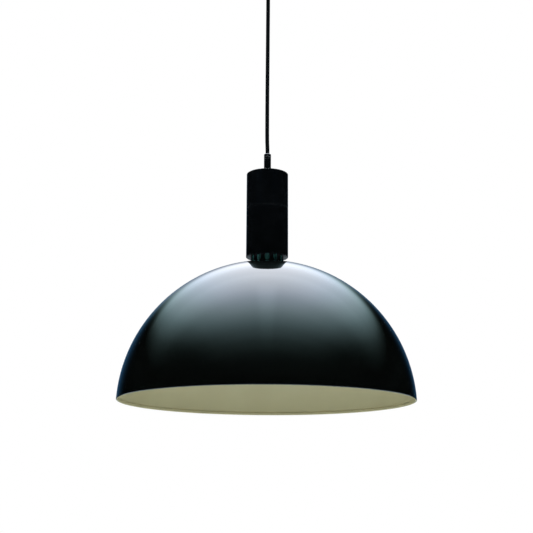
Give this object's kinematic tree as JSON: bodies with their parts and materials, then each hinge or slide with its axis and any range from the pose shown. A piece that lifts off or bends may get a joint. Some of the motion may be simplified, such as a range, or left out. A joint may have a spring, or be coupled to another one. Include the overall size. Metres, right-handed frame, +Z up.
{
  "type": "pendant light",
  "caption": "Ceiling pendant light with a deep half-sphere metal shade under a slim fluted housing, a slotted neck and a cord grip, hung on a cord from a round canopy.",
  "frame": {"origin": "middle of the mounting plate's top face, on the ceiling", "axes": "+Z up out of the ceiling face, along the cord and the shade's axis; +X along the plate, through both side screws of the canopy; +Y to the back"},
  "size_m": [0.4999, 0.4998, 0.8099],
  "materials": {
    "shade_enamel": "gloss black stove enamel outside, satin khaki paint inside",
    "housing_paint": "satin black paint",
    "zinc_steel": "zinc-plated",
    "brass": "plain",
    "cord_jacket": "matt black jacket",
    "brown_sleeve": "brown insulation",
    "blue_sleeve": "blue insulation",
    "green_sleeve": "green and yellow insulation",
    "block_nylon": "white nylon",
    "holder_plastic": "dark teal moulded plastic",
    "porcelain": "glazed white",
    "grip_nylon": "black nylon",
    "bulb_clear": "clear",
    "bulb_black_glass": "black base glass",
    "bulb_metal": "bright",
    "contact_metal": "tinned",
    "filament_wire": "dull tungsten grey"
  },
  "bodies": {
    "ceiling": {"mounting_plate": "zinc_steel", "canopy": "housing_paint", "canopy_screws": "housing_paint", "canopy_grip": "housing_paint", "canopy_grip_nut": "zinc_steel", "canopy_grip_screw": "zinc_steel", "ceiling_cord_end": "cord_jacket", "terminal_block": "block_nylon", "block_screws": "zinc_steel", "terminal_tubes": "brass", "terminal_screws": "zinc_steel", "ceiling_live_core": "brown_sleeve", "ceiling_earth_core": "green_sleeve", "ceiling_neutral_core": "blue_sleeve"},
    "cord": {"cord": "cord_jacket"},
    "lamp": {"grip_body": "housing_paint", "grip_cap": "housing_paint", "grip_collet": "grip_nylon", "threaded_tube": "zinc_steel", "lamp_cord_end": "cord_jacket", "upper_cap": "housing_paint", "cap_washer": "zinc_steel", "cap_nut": "zinc_steel", "lower_sleeve": "housing_paint", "vent_neck": "housing_paint", "shade": "shade_enamel", "shade_ring": "zinc_steel", "shade_screws": "zinc_steel", "holder_cap": "holder_plastic", "holder_lock_nut": "zinc_steel", "holder_skirt": "holder_plastic", "holder_insert": "porcelain", "holder_shell": "brass", "holder_contact": "brass", "holder_live_core": "brown_sleeve", "holder_neutral_core": "blue_sleeve", "holder_earth_core": "green_sleeve", "holder_terminals": "brass", "holder_terminal_screws": "zinc_steel"},
    "bulb": {"bulb_glass": "bulb_clear", "bulb_shell": "bulb_metal", "bulb_insulator": "bulb_black_glass", "bulb_contact": "contact_metal", "bulb_stem": "bulb_clear", "bulb_filament": "filament_wire"}
  },
  "joints": [
    {"name": "cord_swing", "type": "hinge", "parent": "ceiling", "child": "cord", "pos_m": [0, 0, -0.043], "axis": [1, 0, 0], "range_deg": [-15, 15]},
    {"name": "lamp_tilt", "type": "hinge", "parent": "cord", "child": "lamp", "pos_m": [0, 0, -0.3738], "axis": [0, 1, 0], "range_deg": [-15, 15]},
    {"name": "bulb_unscrew", "type": "slide", "parent": "lamp", "child": "bulb", "axis": [0, 0, -1], "range_m": [0, 0.03]}
  ]
}
